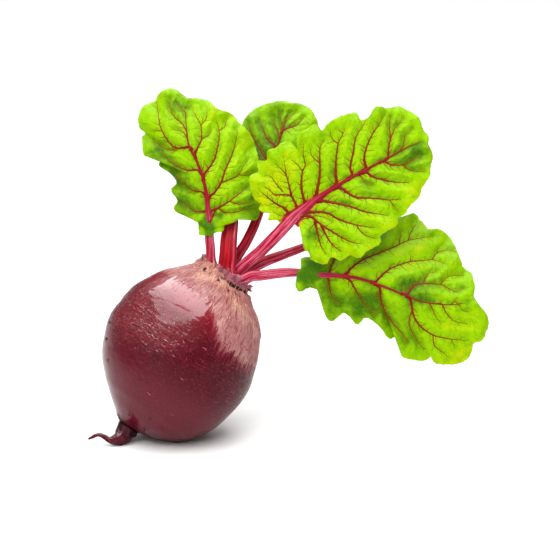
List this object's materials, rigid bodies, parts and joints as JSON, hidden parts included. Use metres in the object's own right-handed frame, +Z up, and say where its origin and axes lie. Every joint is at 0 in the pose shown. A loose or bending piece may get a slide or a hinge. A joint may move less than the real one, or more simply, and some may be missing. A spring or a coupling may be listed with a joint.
{
  "type": "beetroot",
  "caption": "Whole round beetroot with a crown, a bent taproot and a fan of red-stalked green leaves, lying on a small flat spot.",
  "frame": {"origin": "on the floor, on the small flat spot that the root rests on, straight below the middle of the globe", "axes": "+Z up, +X towards the tips of the leaves, so the taproot points to -X, and the leaf fan's front faces -Y"},
  "size_m": [0.2196, 0.1077, 0.1882],
  "materials": {
    "root_skin": "satin plum skin with corky tan crown",
    "stalk_red": "smooth, ridged, crimson to pink",
    "blade_green": "soft bright green with red veins"
  },
  "bodies": {
    "root": {"root": "root_skin", "leaf_left_stalk": "stalk_red", "leaf_left_blade": "blade_green", "leaf_inner_left_stalk": "stalk_red", "leaf_inner_left_blade": "blade_green", "leaf_back_stalk": "stalk_red", "leaf_back_blade": "blade_green", "leaf_front_stalk": "stalk_red", "leaf_front_blade": "blade_green", "leaf_inner_right_stalk": "stalk_red", "leaf_inner_right_blade": "blade_green", "leaf_right_stalk": "stalk_red", "leaf_right_blade": "blade_green"}
  },
  "joints": []
}
